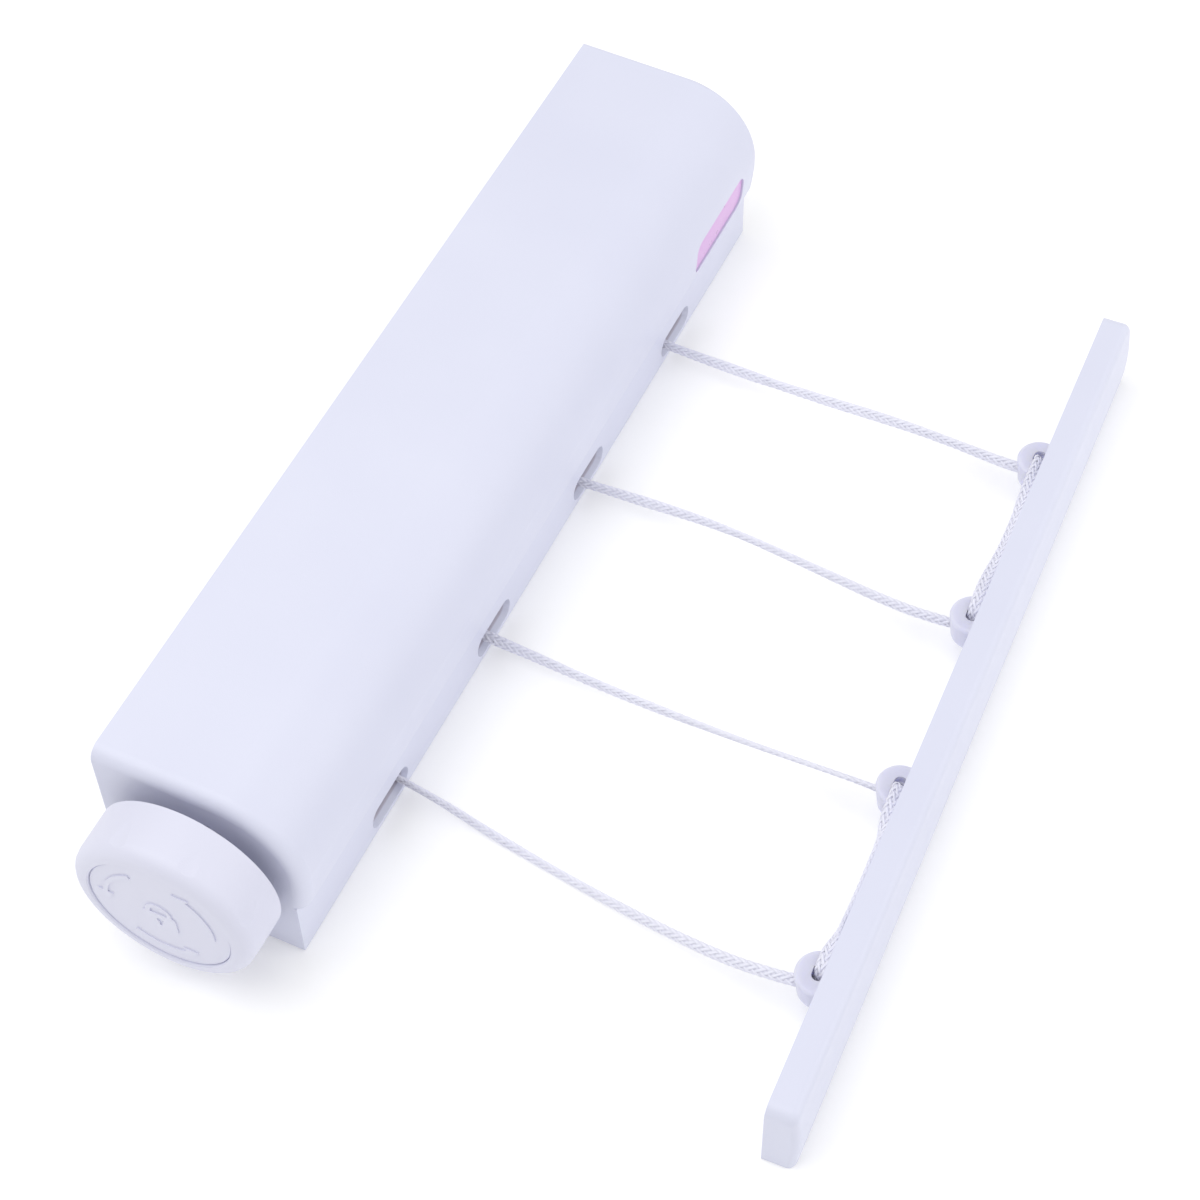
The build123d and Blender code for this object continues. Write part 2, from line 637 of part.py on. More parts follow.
bar_plane = Plane(origin=(BAR_X, BAR_Y, 0)).rotated((0, 0, BAR_YAW))
BAR_ROUND = 2.6
BAR_END_ROUND = 4.0         # between the bar's top and its ends
BACK_THICK = 1.6
EYELET_U = [EYELET_SHIFT + EYELET_PITCH * (1.5 - i) for i in range(4)]      # eyelet 1 is at the far end
BAR_SCREW_U = [EYELET_SHIFT + EYELET_PITCH * (i - 2) for i in range(5)]
BAR_SCREW_Z = 9.0


def bar_frame(u, x, z):
    """A point of the bar: u along it, x outward from its inner face, z up."""
    return bar_plane.from_local_coords((x, u, z))


def bar_section(inset):
    """The bar's section: upright inner face, flat top, bulging outer face."""
    low = inset
    high = BAR_HEIGHT - inset
    top_x = BAR_DEPTH - 1.6 - inset
    low_x = BAR_DEPTH - 0.8 - inset
    with BuildSketch() as section:
        with BuildLine():
            Line((0, low), (0, high))
            Line((0, high), (top_x, high))
            ThreePointArc((top_x, high), (BAR_DEPTH - inset, BAR_HEIGHT * 0.45), (low_x, low))
            Line((low_x, low), (0, low))
        make_face()
    return section.sketch


bar_end = Plane(
    origin=bar_frame(BAR_LENGTH / 2, 0, 0),
    x_dir=bar_plane.x_dir,
    z_dir=-bar_plane.y_dir,
)

with BuildPart() as bar_shell:
    with BuildSketch(bar_end):
        add(bar_section(0))
    extrude(amount=BAR_LENGTH)
    top_ends = bar_shell.faces().sort_by(Axis.Z)[-1].edges().sort_by(Axis.Y)
    fillet([top_ends[0], top_ends[-1]], BAR_END_ROUND)
    fillet(bar_shell.faces().sort_by(Axis.X)[-1].edges(), BAR_ROUND)
    with BuildSketch(bar_end.offset(BAR_WALL)):
        add(bar_section(BAR_WALL))
    extrude(amount=BAR_LENGTH - 2 * BAR_WALL, mode=Mode.SUBTRACT)
    # screw posts between the outer wall and the closing strip
    posts = Plane(origin=bar_frame(0, BACK_THICK, 0), x_dir=bar_plane.y_dir, z_dir=bar_plane.x_dir)
    with BuildSketch(posts):
        with Locations(*[(u, BAR_SCREW_Z) for u in BAR_SCREW_U]):
            Circle(2.6)
    extrude(amount=BAR_DEPTH - BACK_THICK - 2.0)
    with BuildSketch(posts):
        with Locations(*[(u, BAR_SCREW_Z) for u in BAR_SCREW_U]):
            Circle(1.1)
    extrude(amount=5.5, mode=Mode.SUBTRACT)
save(bar_shell.part, "bar_shell")

strip_plane = Plane(origin=bar_frame(0, 0, 0), x_dir=bar_plane.y_dir, z_dir=bar_plane.x_dir)

with BuildPart() as bar_back:
    with BuildSketch(strip_plane):
        with Locations((0, BAR_HEIGHT / 2)):
            Rectangle(BAR_LENGTH - 2 * BAR_WALL - 0.2, BAR_HEIGHT - 2 * BAR_WALL - 0.2)
        with Locations(*[(u, BAR_SCREW_Z) for u in BAR_SCREW_U]):
            Circle(1.3, mode=Mode.SUBTRACT)
    extrude(amount=BACK_THICK)
save(bar_back.part, "bar_back")

with BuildPart() as bar_screws:
    with BuildSketch(strip_plane):
        with Locations(*[(u, BAR_SCREW_Z) for u in BAR_SCREW_U]):
            Circle(2.2)
    extrude(amount=-1.4)
    fillet(bar_screws.faces().sort_by(Axis.X)[: len(BAR_SCREW_U)].edges(), 0.5)
    with BuildSketch(strip_plane):
        with Locations(*[(u, BAR_SCREW_Z) for u in BAR_SCREW_U]):
            Circle(1.05)
    extrude(amount=6.0)
save(bar_screws.part, "bar_screws")


def tongue(radius, reach):
    """Outline of an eyelet seen from above: straight sides off the bar and a rounded end."""
    straight = reach - radius
    with BuildSketch() as outline:
        with BuildLine():
            Line((0, radius), (-straight, radius))
            ThreePointArc((-straight, radius), (-reach, 0), (-straight, -radius))
            Line((-straight, -radius), (0, -radius))
            Line((0, -radius), (0, radius))
        make_face()
    return outline.sketch


for number, u in enumerate(EYELET_U, start=1):
    low = bar_frame(u, 0, EYELET_TOP - EYELET_HEIGHT)
    foot = Plane(origin=low, x_dir=bar_plane.x_dir, z_dir=(0, 0, 1))
    with BuildPart() as eyelet:
        with BuildSketch(foot):
            add(tongue(EYELET_R - EYELET_TAPER, EYELET_REACH - EYELET_TAPER))
        with BuildSketch(foot.offset(EYELET_HEIGHT)):
            add(tongue(EYELET_R, EYELET_REACH))
        loft()
        rims = eyelet.edges().filter_by(lambda edge: (edge @ 0.5 - low).dot(bar_plane.x_dir) < -0.1)
        fillet([edge for edge in rims if abs((edge % 0.5).Z) < 0.2], EYELET_ROUND)
        # passage for the cord: in at the rounded end, out through the top
        with BuildLine() as passage:
            FilletPolyline(
                bar_frame(u, -EYELET_REACH - 4, EYELET_HOLE_Z),
                bar_frame(u, -EYELET_HOLE_REACH, EYELET_HOLE_Z),
                bar_frame(u, -EYELET_HOLE_REACH, EYELET_TOP + 4),
                radius=EYELET_TURN_R,
            )
        with BuildSketch(Plane(origin=passage.line @ 0, z_dir=passage.line % 0)):
            Circle(EYELET_HOLE_R)
        sweep(mode=Mode.SUBTRACT)
        mouth = Plane(origin=bar_frame(u, -EYELET_REACH, EYELET_HOLE_Z), z_dir=bar_plane.x_dir)
        with BuildSketch(mouth.offset(-0.5)):
            Circle(EYELET_MOUTH_R)
        with BuildSketch(mouth.offset(EYELET_MOUTH_DEPTH)):
            Circle(EYELET_HOLE_R)
        loft(mode=Mode.SUBTRACT)
        rim = Plane(
            origin=bar_frame(u, -EYELET_HOLE_REACH, EYELET_TOP),
            x_dir=bar_plane.y_dir,
            z_dir=(0, 0, 1),
        )
        with BuildSketch(rim):
            SlotOverall(EYELET_SLOT_LENGTH, 2 * EYELET_HOLE_R)
        extrude(amount=-EYELET_SLOT_DEPTH, mode=Mode.SUBTRACT)
    save(eyelet.part, f"eyelet_{number}")

# ---------------------------------------------------------------- cords

RUN_SHARE = 0.45            # share of the shorter run that each bend takes up
LIFT_OFF_R = WINDING_R + CORD_D / 2 + 0.3
GUIDE_POINT = (20.0, 6.5)   # X and Z where the cord levels out ahead of its slot
TOP_LEVEL = 23.8            # cord level where it turns along the bar

SPAN_1 = [(48.0, 96.0, 7.2), (84.8, 93.4, 9.7), (122.0, 92.5, 12.4), (146.0, 90.2, 13.8)]
SPAN_2 = [(46.0, 29.3, 6.7), (81.3, 29.4, 8.5), (113.3, 24.7, 10.8), (146.0, 19.1, 13.6)]
SPAN_3 = [(44.0, -42.1, 5.6), (76.6, -44.2, 5.5), (119.9, -46.5, 8.6), (149.0, -48.0, 12.6)]
SPAN_4 = [(44.0, -102.7, 3.9), (66.0, -106.4, 2.0), (108.6, -113.5, 3.2), (146.0, -120.0, 9.6)]
START_Y = [98.4, 27.4, -41.0, -99.6]
GUIDE_Y = [97.8, 28.2, -41.6, -101.0]
ENTRY_U = [-0.2, -0.6, 1.2, -1.5]      # how far off its eyelet's middle each line comes in
STRAND_A = [(-2.2, -11.0, 23.6), (-1.75, -31.0, 21.6), (-2.0, -47.0, 22.6), (-2.7, -59.2, 24.8)]
STRAND_B = [
    (-2.2, -9.8, 23.7),
    (-1.75, -19.5, 19.4),
    (-1.75, -35.0, 17.9),
    (-1.75, -50.0, 19.2),
    (-2.1, -59.7, 23.7),
]


def lift_off(y):
    """Where a cord leaves the underside of its winding, heading for the guide point."""
    gap_x = GUIDE_POINT[0] - AXIS_X
    gap_z = GUIDE_POINT[1] - AXIS_Z
    angle = math.atan2(gap_z, gap_x) - math.acos(LIFT_OFF_R / math.hypot(gap_x, gap_z))
    return (AXIS_X + LIFT_OFF_R * math.cos(angle), y, AXIS_Z + LIFT_OFF_R * math.sin(angle))


def half_route(index, span):
    """Route of one line from its winding to the point above its eyelet."""
    u = EYELET_U[index]
    return [
        lift_off(START_Y[index]),
        (GUIDE_POINT[0], GUIDE_Y[index], GUIDE_POINT[1]),
        *span,
        tuple(bar_frame(u + ENTRY_U[index], -EYELET_HOLE_REACH - 9.8, EYELET_HOLE_Z - 0.5)),
        tuple(bar_frame(u, -EYELET_HOLE_REACH, EYELET_HOLE_Z)),
        tuple(bar_frame(u, -EYELET_HOLE_REACH, TOP_LEVEL)),
    ]


def bend_radii(points):
    """Radius of each bend, from its turn and the shorter of the runs it joins."""
    radii = []
    for before, corner, after in zip(points, points[1:], points[2:]):
        run_in = Vector(*corner) - Vector(*before)
        run_out = Vector(*after) - Vector(*corner)
        half_turn = math.radians(run_in.get_angle(run_out)) / 2
        radii.append(RUN_SHARE * min(run_in.length, run_out.length) / math.tan(half_turn))
    return radii


strand_a = [tuple(bar_frame(EYELET_U[0] + du, x, z)) for x, du, z in STRAND_A]
strand_b = [tuple(bar_frame(EYELET_U[2] + du, x, z)) for x, du, z in STRAND_B]
CORD_ROUTES = {
    "cord_a": half_route(0, SPAN_1) + strand_a + half_route(1, SPAN_2)[::-1],
    "cord_b": half_route(2, SPAN_3) + strand_b + half_route(3, SPAN_4)[::-1],
}

for name, points in CORD_ROUTES.items():
    radii = bend_radii(points)
    with BuildPart() as cord:
        with BuildLine() as route:
            FilletPolyline(*points, radius=radii)
        with BuildSketch(Plane(origin=route.line @ 0, z_dir=route.line % 0)):
            Circle(CORD_D / 2)
        sweep()
    save(cord.part, name)
    length = sum(edge.length for edge in route.edges())
    tube_share = cord.part.volume / (math.pi * CORD_D**2 / 4 * length)
    print(name, "radii", [round(radius, 1) for radius in radii])
    print(name, "length", round(length, 1), "volume over section x length", round(tube_share, 4))
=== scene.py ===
import json
import math

import bpy
import numpy as np
from mathutils import Matrix, Vector


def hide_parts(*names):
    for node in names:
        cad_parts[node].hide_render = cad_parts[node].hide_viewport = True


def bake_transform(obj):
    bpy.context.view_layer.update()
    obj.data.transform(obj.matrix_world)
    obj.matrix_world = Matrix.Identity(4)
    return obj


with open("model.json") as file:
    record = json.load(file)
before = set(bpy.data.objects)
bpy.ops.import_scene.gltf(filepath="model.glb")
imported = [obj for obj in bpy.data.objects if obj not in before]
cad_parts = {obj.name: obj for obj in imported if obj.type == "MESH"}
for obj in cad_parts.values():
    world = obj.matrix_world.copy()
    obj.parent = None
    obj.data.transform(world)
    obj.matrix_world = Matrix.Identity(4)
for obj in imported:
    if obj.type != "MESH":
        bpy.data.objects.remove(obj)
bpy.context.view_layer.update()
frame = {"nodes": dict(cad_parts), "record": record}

scene = bpy.context.scene
scene.view_settings.view_transform = "Standard"

# ---------------------------------------------------------------- camera

CAMERA_AT = (0.28697, -0.47318, 0.69241)
CAMERA_RIGHT = (0.90444, 0.42628, -0.01673)
CAMERA_UP = (-0.3323, 0.7285, 0.5991)
CAMERA_BACK = (0.26757, -0.53630, 0.80049)
SENSOR_MM = 36
LENS_MM = 78.84

camera = bpy.data.objects.new("camera", bpy.data.cameras.new("camera"))
scene.collection.objects.link(camera)
camera.matrix_world = Matrix.Translation(CAMERA_AT) @ Matrix(
    (CAMERA_RIGHT, CAMERA_UP, CAMERA_BACK)
).transposed().to_4x4()
camera.data.sensor_width = SENSOR_MM
camera.data.lens = LENS_MM
scene.camera = camera

# ---------------------------------------------------------------- cords

# Each line's route, from where it leaves its winding to its eyelet, and the run along the bar.
# Metres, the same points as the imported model's tubes.
ROUTE_A = [
    (-0.00755, 0.09840, 0.02113),
    (0.02000, 0.09780, 0.00650),
    (0.04800, 0.09600, 0.00720),
    (0.08480, 0.09340, 0.00970),
    (0.12200, 0.09250, 0.01240),
    (0.14600, 0.09020, 0.01380),
    (0.16049, 0.08898, 0.01410),
    (0.17028, 0.08952, 0.01460),
    (0.17028, 0.08952, 0.02380),
    (0.17075, 0.07852, 0.02360),
    (0.17188, 0.05855, 0.02160),
    (0.17217, 0.04255, 0.02260),
    (0.17189, 0.03034, 0.02480),
    (0.17264, 0.02006, 0.02380),
    (0.17264, 0.02006, 0.01460),
    (0.16287, 0.01912, 0.01410),
    (0.14600, 0.01910, 0.01360),
    (0.11330, 0.02470, 0.01080),
    (0.08130, 0.02940, 0.00850),
    (0.04600, 0.02930, 0.00670),
    (0.02000, 0.02820, 0.00650),
    (-0.00755, 0.02740, 0.02113),
]
ROUTE_B = [
    (-0.00755, -0.04100, 0.02113),
    (0.02000, -0.04160, 0.00650),
    (0.04400, -0.04210, 0.00560),
    (0.07660, -0.04420, 0.00550),
    (0.11990, -0.04650, 0.00860),
    (0.14900, -0.04800, 0.01260),
    (0.16517, -0.04854, 0.01410),
    (0.17500, -0.04940, 0.01460),
    (0.17500, -0.04940, 0.02380),
    (0.17544, -0.05920, 0.02370),
    (0.17622, -0.06887, 0.01940),
    (0.17675, -0.08437, 0.01790),
    (0.17726, -0.09936, 0.01920),
    (0.17724, -0.10906, 0.02370),
    (0.17737, -0.11886, 0.02380),
    (0.17737, -0.11886, 0.01460),
    (0.16763, -0.12070, 0.01410),
    (0.14600, -0.12000, 0.00960),
    (0.10860, -0.11350, 0.00320),
    (0.06600, -0.10640, 0.00200),
    (0.04400, -0.10270, 0.00390),
    (0.02000, -0.10100, 0.00650),
    (-0.00755, -0.09960, 0.02113),
]

CORD_HALF_WIDTH = 0.00190   # the line is a soft flat braid
CORD_HALF_THICK = 0.00092
YARNS_EACH_WAY = 6
YARN_SIDES = 6
CORE_SIDES = 12
YARN_HALF_WIDTH = 0.00056
YARN_HALF_THICK = 0.00020
BRAID_PITCH = 0.016
BRAID_LIFT = 0.00016        # how far a yarn rises over the one it crosses
WEAVE_HOLD = 1.6            # above 1, a yarn stays up or down for a while between two crossings
BRAID_STEP = 0.00045
FLAT_FACES = Vector((0.27, -0.54, 0.80))    # the way the flat side faces at roll 0


def spline_line(points):
    """Points along the NURBS spline that has these control points."""
    curve = bpy.data.curves.new("route", "CURVE")
    curve.dimensions = "3D"
    curve.resolution_u = 32
    spline = curve.splines.new("NURBS")
    spline.points.add(len(points) - 1)
    for point, place in zip(spline.points, points):
        point.co = (*place, 1.0)
    spline.order_u = 3
    spline.use_endpoint_u = True
    route = bpy.data.objects.new("route", curve)
    scene.collection.objects.link(route)
    mesh = bpy.data.meshes.new_from_object(route)
    line = np.array([v.co for v in mesh.vertices])
    bpy.data.objects.remove(route)
    bpy.data.curves.remove(curve)
    bpy.data.meshes.remove(mesh)
    return line


def stations(line, step):
    """Places along a line at even distances: (places, distances)."""
    runs = np.linalg.norm(np.diff(line, axis=0), axis=1)
    along = np.concatenate([[0.0], np.cumsum(runs)])
    distance = np.linspace(0.0, along[-1], int(along[-1] / step) + 1)
    places = np.stack([np.interp(distance, along, line[:, k]) for k in range(3)], axis=1)
    return places, distance


def section_axes(places, roll):
    """The wide and the thin direction of the cord's section at each place."""
    tangent = np.gradient(places, axis=0)
    tangent /= np.linalg.norm(tangent, axis=1)[:, None]
    thin = np.zeros_like(places)
    last = np.array(FLAT_FACES)
    for i, t in enumerate(tangent):
        last = last - t * (last @ t)
        last /= np.linalg.norm(last)
        thin[i] = last
    wide = np.cross(tangent, thin)
    c = np.cos(roll)[:, None]
    s = np.sin(roll)[:, None]
    return wide * c + thin * s, thin * c - wide * s


def ring_faces(rings, around, first):
    """Quads and end caps of a tube whose ring vertices are numbered from first."""
    faces = []
    for r in range(rings - 1):
        for k in range(around):
            a = first + r * around + k
            b = first + r * around + (k + 1) % around
            faces.append((a, b, b + around, a + around))
    faces.append(tuple(first + k for k in reversed(range(around))))
    faces.append(tuple(first + (rings - 1) * around + k for k in range(around)))
    return faces


def braided_cord(name, points, roll_keys):
    """A flat braid of interlaced yarns over a core, along the route's spline."""
    line = spline_line(points)
    places, distance = stations(line, BRAID_STEP)
    length = distance[-1]
    roll = np.radians(np.interp(distance / length, *zip(*roll_keys)))
    wide, thin = section_axes(places, roll)
    rings = len(places)
    a = CORD_HALF_WIDTH - YARN_HALF_THICK - BRAID_LIFT
    b = CORD_HALF_THICK - YARN_HALF_THICK - BRAID_LIFT
    blocks = []
    faces = []
    first = 0
    for way in (1, -1):
        for i in range(YARNS_EACH_WAY):
            turn = 2 * math.pi * (i / YARNS_EACH_WAY + way * distance / BRAID_PITCH)
            weave = math.pi * (way * YARNS_EACH_WAY * distance / BRAID_PITCH + i) - math.pi / 4
            lift = way * BRAID_LIFT * np.clip(WEAVE_HOLD * np.cos(weave), -1, 1)
            c, s = np.cos(turn), np.sin(turn)
            out = np.stack([c * b, s * a], axis=1)
            out /= np.linalg.norm(out, axis=1)[:, None]
            side = np.stack([-out[:, 1], out[:, 0]], axis=1)
            middle = np.stack([c * a, s * b], axis=1) + out * lift[:, None]
            for k in range(YARN_SIDES):
                angle = 2 * math.pi * k / YARN_SIDES
                at = (
                    middle
                    + side * (YARN_HALF_WIDTH * math.cos(angle))
                    + out * (YARN_HALF_THICK * math.sin(angle))
                )
                ring = places + wide * at[:, :1] + thin * at[:, 1:]
                blocks.append((first, YARN_SIDES, k, ring))
            faces += ring_faces(rings, YARN_SIDES, first)
            first += rings * YARN_SIDES
    for k in range(CORE_SIDES):
        angle = -2 * math.pi * k / CORE_SIDES
        ring = (
            places
            + wide * ((a - YARN_HALF_THICK / 2) * math.cos(angle))
            + thin * ((b - YARN_HALF_THICK / 2) * math.sin(angle))
        )
        blocks.append((first, CORE_SIDES, k, ring))
    faces += ring_faces(rings, CORE_SIDES, first)
    vertices = np.zeros((first + rings * CORE_SIDES, 3))
    for start, around, k, ring in blocks:
        vertices[start + k:start + rings * around:around] = ring
    mesh = bpy.data.meshes.new(name)
    mesh.from_pydata(vertices.tolist(), [], faces)
    mesh.polygons.foreach_set("use_smooth", [True] * len(mesh.polygons))
    cord = bpy.data.objects.new(name, mesh)
    scene.collection.objects.link(cord)
    return cord, places, length


# How the flat braid is rolled about its line: (share of the length, degrees).
ROLL_A = [
    (0.0, -49), (0.11, -48), (0.15, -25), (0.17, -32), (0.19, -53), (0.228, -39), (0.267, -32),
    (0.305, -44), (0.343, -51), (0.379, -32), (0.43, -8), (0.455, -60), (0.475, -98), (0.51, -98),
    (0.54, -62), (0.56, -58), (0.615, -75), (0.65, -75), (0.686, -69), (0.722, -60),
    (0.778, -52), (0.816, -68), (0.855, -89), (0.893, -69), (1.0, -70),
]
ROLL_B = [
    (0.0, -16), (0.104, -16), (0.122, -31), (0.157, -44), (0.192, -47), (0.227, -52), (0.262, -68),
    (0.296, -79), (0.331, -86), (0.364, -92), (0.381, -81), (0.43, -30), (0.445, -65), (0.46, -140),
    (0.475, -155), (0.53, -155), (0.545, -125), (0.56, -72), (0.602, -104), (0.62, -95),
    (0.655, -93), (0.69, -83), (0.724, -80), (0.759, -74), (0.793, -69), (0.828, -74),
    (0.862, -67), (0.895, -55), (1.0, -55),
]

cord_a, line_a, length_a = braided_cord("braided_cord_a", ROUTE_A, ROLL_A)
cord_b, line_b, length_b = braided_cord("braided_cord_b", ROUTE_B, ROLL_B)
for cord, node, line, length in (
    (cord_a, "cord_a", line_a, length_a),
    (cord_b, "cord_b", line_b, length_b),
):
    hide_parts(node)

for cord in (cord_a, cord_b):
    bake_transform(cord)

# ---------------------------------------------------------------- materials


def new_material(name, color, roughness):
    """A node material with its principled shader, ready for more nodes."""
    material = bpy.data.materials.new(name)
    material.use_nodes = True
    nodes = material.node_tree.nodes
    shader = nodes["Principled BSDF"]
    shader.inputs["Base Color"].default_value = (*color, 1)
    shader.inputs["Roughness"].default_value = roughness
    return material, nodes, material.node_tree.links, shader


def noise(nodes, links, scale, detail=3.0, roughness=0.55):
    """A noise texture in the row frame's metres."""
    place = nodes.new("ShaderNodeTexCoord")
    texture = nodes.new("ShaderNodeTexNoise")
    texture.inputs["Scale"].default_value = scale
    texture.inputs["Detail"].default_value = detail
    texture.inputs["Roughness"].default_value = roughness
    links.new(place.outputs["Object"], texture.inputs["Vector"])
    return texture.outputs["Fac"]


def spread(nodes, links, value, low, high):
    """A 0 to 1 value spread between two numbers."""
    remap = nodes.new("ShaderNodeMapRange")
    remap.inputs["From Min"].default_value = 0.3
    remap.inputs["From Max"].default_value = 0.7
    remap.inputs["To Min"].default_value = low
    remap.inputs["To Max"].default_value = high
    links.new(value, remap.inputs["Value"])
    return remap.outputs["Result"]


def two_tone(nodes, links, value, first, second):
    """Two colours mixed by a value; each is a socket or a colour."""
    mix = nodes.new("ShaderNodeMix")
    mix.data_type = "RGBA"
    links.new(value, mix.inputs["Factor"])
    for socket, color in ((mix.inputs[6], first), (mix.inputs[7], second)):
        if isinstance(color, tuple):
            socket.default_value = (*color, 1)
        else:
            links.new(color, socket)
    return mix.outputs[2]


def bump(nodes, links, height, distance, strength=1.0, normal=None):
    """A bump of the given depth in metres."""
    node = nodes.new("ShaderNodeBump")
    node.inputs["Distance"].default_value = distance
    node.inputs["Strength"].default_value = strength
    links.new(height, node.inputs["Height"])
    if normal is not None:
        links.new(normal, node.inputs["Normal"])
    return node.outputs["Normal"]


def moulded_plastic(name, color, shade, roughness, grain=0.00002):
    """Moulded plastic: a slow drift of tone, a fine spark texture and faint handling marks."""
    material, nodes, links, shader = new_material(name, color, roughness)
    drift = noise(nodes, links, scale=14.0, detail=2.0)
    tone = spread(nodes, links, drift, low=0.0, high=1.0)
    links.new(two_tone(nodes, links, tone, color, shade), shader.inputs["Base Color"])
    marks = noise(nodes, links, scale=160.0, detail=6.0, roughness=0.7)
    rough = spread(nodes, links, marks, low=roughness - 0.05, high=roughness + 0.06)
    links.new(rough, shader.inputs["Roughness"])
    waves = noise(nodes, links, scale=38.0, detail=1.0)
    wavy = bump(nodes, links, waves, distance=0.00016, strength=0.35)
    spark = noise(nodes, links, scale=2600.0, detail=2.0, roughness=0.6)
    grained = bump(nodes, links, spark, distance=grain, normal=wavy)
    links.new(grained, shader.inputs["Normal"])
    shader.inputs["Specular IOR Level"].default_value = 0.45
    return material


def math_node(nodes, links, operation, first, second):
    """A math node; each input is a socket or a number."""
    node = nodes.new("ShaderNodeMath")
    node.operation = operation
    for socket, value in zip(node.inputs, (first, second)):
        if isinstance(value, (int, float)):
            socket.default_value = value
        else:
            links.new(value, socket)
    return node.outputs["Value"]


def ramp(nodes, links, value, start, end):
    """0 at start, 1 at end, smooth between; start may be the larger."""
    remap = nodes.new("ShaderNodeMapRange")
    remap.interpolation_type = "SMOOTHSTEP"
    remap.inputs["From Min"].default_value = start
    remap.inputs["From Max"].default_value = end
    links.new(value, remap.inputs["Value"])
    return remap.outputs["Result"]


def housing_plastic_with_painted_shade(name, color, shade, roughness):
    """The case's plastic, with painted shade on its inner faces, which show through the slots: a
    darker colour that stands in for the shadow inside the slots.
    """
    material = moulded_plastic(name, color, shade, roughness)
    nodes = material.node_tree.nodes
    links = material.node_tree.links
    shader = nodes["Principled BSDF"]
    place = nodes.new("ShaderNodeTexCoord")
    axes = nodes.new("ShaderNodeSeparateXYZ")
    links.new(place.outputs["Object"], axes.inputs["Vector"])
    x, y, z = axes.outputs
    painted_shade_mask = ramp(nodes, links, x, *INSIDE_FRONT)
    off_middle = math_node(nodes, links, "ABSOLUTE", y, 0.0)
    for value, limits in (
        (z, INSIDE_FLOOR),
        (z, INSIDE_PARTING),
        (off_middle, INSIDE_ENDS),
        (x, INSIDE_BACK),
    ):
        limit = ramp(nodes, links, value, *limits)
        painted_shade_mask = math_node(nodes, links, "MULTIPLY", painted_shade_mask, limit)
    outer = shader.inputs["Base Color"].links[0].from_socket
    # Painted shade: the inner faces behind the slots get a darker colour where shadow falls.
    links.new(two_tone(nodes, links, painted_shade_mask, outer, INSIDE_PAINTED_SHADE), shader.inputs["Base Color"])
    return material


def braid_material(name, color, shade):
    """Polyester yarn: soft, with fine filaments, a little sheen and the odd grey smudge."""
    material, nodes, links, shader = new_material(name, color, roughness=0.72)
    patches = noise(nodes, links, scale=420.0, detail=4.0, roughness=0.6)
    tone = spread(nodes, links, patches, low=0.0, high=1.0)
    yarn = two_tone(nodes, links, tone, color, shade)
    smudge = noise(nodes, links, scale=46.0, detail=2.0, roughness=0.5)
    soiled = ramp(nodes, links, smudge, start=0.68, end=0.80)
    soiled = math_node(nodes, links, "MULTIPLY", soiled, SMUDGE_STRENGTH)
    links.new(two_tone(nodes, links, soiled, yarn, SMUDGE_GREY), shader.inputs["Base Color"])
    fibres = noise(nodes, links, scale=5200.0, detail=3.0, roughness=0.7)
    fuzzy = bump(nodes, links, fibres, distance=0.00004, strength=0.7)
    links.new(fuzzy, shader.inputs["Normal"])
    shader.inputs["Sheen Weight"].default_value = 0.2
    shader.inputs["Sheen Roughness"].default_value = 0.5
    return material


def wound_cord(name, color, shade):
    """Cord wound side by side on the drum: one groove to each turn, and the yarns across it."""
    material = braid_material(name, color, shade)
    nodes = material.node_tree.nodes
    links = material.node_tree.links
    place = nodes.new("ShaderNodeTexCoord")
    turns = nodes.new("ShaderNodeTexWave")
    turns.bands_direction = "Y"
    turns.wave_profile = "SIN"
    turns.inputs["Scale"].default_value = WAVE_SCALE / CORD_PITCH
    turns.inputs["Distortion"].default_value = 0.6
    turns.inputs["Detail Scale"].default_value = 30.0
    links.new(place.outputs["Object"], turns.inputs["Vector"])
    shader = nodes["Principled BSDF"]
    grooves = bump(nodes, links, turns.outputs["Fac"], distance=0.0009)
    plait = noise(nodes, links, scale=900.0, detail=2.0, roughness=0.6)
    plaited = bump(nodes, links, plait, distance=0.0002, strength=0.8, normal=grooves)
    links.new(plaited, shader.inputs["Normal"])
    return material


def steel(name, color, roughness, streak_axis):
    """Drawn or rolled steel with streaks along one axis."""
    material, nodes, links, shader = new_material(name, color, roughness)
    shader.inputs["Metallic"].default_value = 1.0
    place = nodes.new("ShaderNodeTexCoord")
    stretch = nodes.new("ShaderNodeMapping")
    scale = [1.0, 1.0, 1.0]
    scale[streak_axis] = STREAK_SQUEEZE
    stretch.inputs["Scale"].default_value = scale
    texture = nodes.new("ShaderNodeTexNoise")
    texture.inputs["Scale"].default_value = 1800.0
    links.new(place.outputs["Object"], stretch.inputs["Vector"])
    links.new(stretch.outputs["Vector"], texture.inputs["Vector"])
    streaks = texture.outputs["Fac"]
    rough = spread(nodes, links, streaks, low=roughness - 0.1, high=roughness + 0.12)
    links.new(rough, shader.inputs["Roughness"])
    normal = bump(nodes, links, streaks, distance=0.00001, strength=0.6)
    links.new(normal, shader.inputs["Normal"])
    return material


WHITE = (0.725, 0.740, 0.870)
WHITE_SHADE = (0.700, 0.715, 0.850)

# Painted shade on the case's inner faces behind the slots, a darker colour in place of their shadow;
# each pair is where it starts and where it is full.
INSIDE_PAINTED_SHADE = (0.52, 0.49, 0.58)
INSIDE_FRONT = (0.0297, 0.0291)
INSIDE_BACK = (-0.0288, -0.0280)
INSIDE_FLOOR = (0.0018, 0.0023)
INSIDE_PARTING = (0.0235, 0.0215)
INSIDE_ENDS = (0.1628, 0.1620)

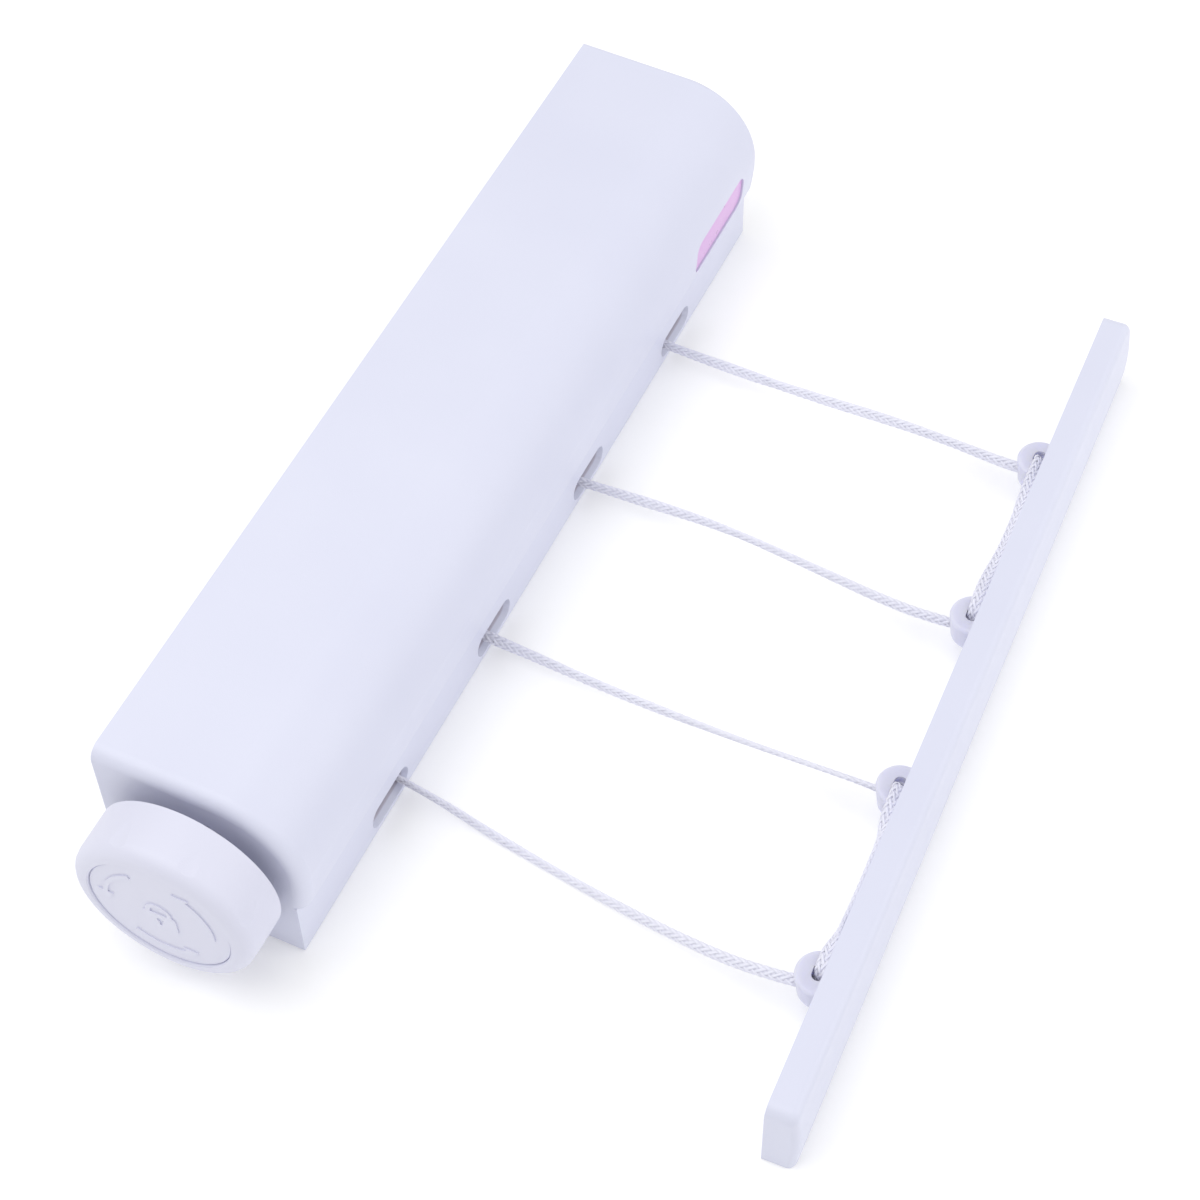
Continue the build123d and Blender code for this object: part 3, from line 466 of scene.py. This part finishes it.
CORD_PITCH = 0.003
WAVE_SCALE = 0.314          # length of one band of a wave texture at scale 1, 2 pi / 20
SMUDGE_GREY = (0.42, 0.42, 0.46)
SMUDGE_STRENGTH = 0.35
STREAK_SQUEEZE = 0.03
BRAID_WHITE = (0.90, 0.90, 0.99)
BRAID_SHADE = (0.83, 0.83, 0.93)

FINISHES = {
    "white_housing": housing_plastic_with_painted_shade("housing_plastic_with_painted_shade", WHITE, WHITE_SHADE, 0.42),
    "white_knob": moulded_plastic(
        "knob_plastic", (0.735, 0.740, 0.865), (0.710, 0.715, 0.840), 0.45
    ),
    "white_bar": moulded_plastic("bar_plastic", WHITE, WHITE_SHADE, 0.42),
    "pink_badge": moulded_plastic(
        "badge_plastic", (0.74, 0.44, 0.79), (0.70, 0.41, 0.76), 0.30, grain=0.000005
    ),
    "eyelet_plastic": moulded_plastic(
        "eyelet_plastic", (0.71, 0.71, 0.84), (0.68, 0.68, 0.81), 0.50
    ),
    "inner_plastic": moulded_plastic(
        "inner_plastic", (0.42, 0.43, 0.47), (0.38, 0.39, 0.43), 0.55
    ),
    "acetal": moulded_plastic(
        "acetal", (0.68, 0.66, 0.58), (0.64, 0.62, 0.54), 0.40, grain=0.00001
    ),
    "braided_cord": braid_material("braid", BRAID_WHITE, BRAID_SHADE),
    "spring_steel": steel("spring_steel", (0.16, 0.17, 0.20), 0.35, streak_axis=2),
    "shaft_steel": steel("shaft_steel", (0.56, 0.56, 0.58), 0.30, streak_axis=1),
    "zinc_screw": steel("zinc_screw", (0.60, 0.62, 0.66), 0.32, streak_axis=2),
}
WOUND_CORD = wound_cord("wound_cord", BRAID_WHITE, BRAID_SHADE)
eyelet_shader = FINISHES["eyelet_plastic"].node_tree.nodes["Principled BSDF"]
eyelet_shader.inputs["Subsurface Weight"].default_value = 0.5
eyelet_shader.inputs["Subsurface Radius"].default_value = (0.004, 0.004, 0.005)
eyelet_shader.inputs["Subsurface Scale"].default_value = 1.0

slots = {part["node"]: part["material_slot"] for part in frame["record"]["subparts"]}
for name, node in frame["nodes"].items():
    node.data.materials.clear()
    wound = name.startswith("cord_winding")
    node.data.materials.append(WOUND_CORD if wound else FINISHES[slots[name]])
for cord in (cord_a, cord_b):
    cord.data.materials.append(FINISHES["braided_cord"])

# ---------------------------------------------------------------- floor and light

FLOOR_REACH = 9
FLOOR_DROP = 0.0002
OBJECT_MIDDLE = Vector((0.08, 0.0, 0.02))

floor_mesh = bpy.data.meshes.new("floor")
corners = [(x * FLOOR_REACH, y * FLOOR_REACH, 0) for x, y in ((-1, -1), (1, -1), (1, 1), (-1, 1))]
floor_mesh.from_pydata(corners, [], [(0, 1, 2, 3)])
floor = bpy.data.objects.new("floor", floor_mesh)
scene.collection.objects.link(floor)
floor_material, _, _, floor_shader = new_material("floor", (0.93, 0.93, 0.93), roughness=0.9)
floor_shader.inputs["Emission Color"].default_value = (1.0, 1.0, 1.0, 1)
floor_shader.inputs["Emission Strength"].default_value = 0.14
floor_mesh.materials.append(floor_material)
floor.location.z = -FLOOR_DROP

world = bpy.data.worlds.new("studio")
world.use_nodes = True
background = world.node_tree.nodes["Background"]
background.inputs["Color"].default_value = (1.0, 1.0, 1.0, 1)
background.inputs["Strength"].default_value = 0.60
scene.world = world


def soft_light(name, place, size, watts):
    """A square softbox aimed at the middle of the object."""
    light = bpy.data.lights.new(name, "AREA")
    light.size = size
    light.energy = watts
    lamp = bpy.data.objects.new(name, light)
    scene.collection.objects.link(lamp)
    lamp.location = place
    aim = OBJECT_MIDDLE - Vector(place)
    lamp.rotation_mode = "QUATERNION"
    lamp.rotation_quaternion = aim.to_track_quat("-Z", "Y")


soft_light("key", (-0.4, -0.3, 1.5), size=1.6, watts=13.5)
soft_light("fill", (1.4, 0.4, 0.8), size=1.4, watts=7.0)
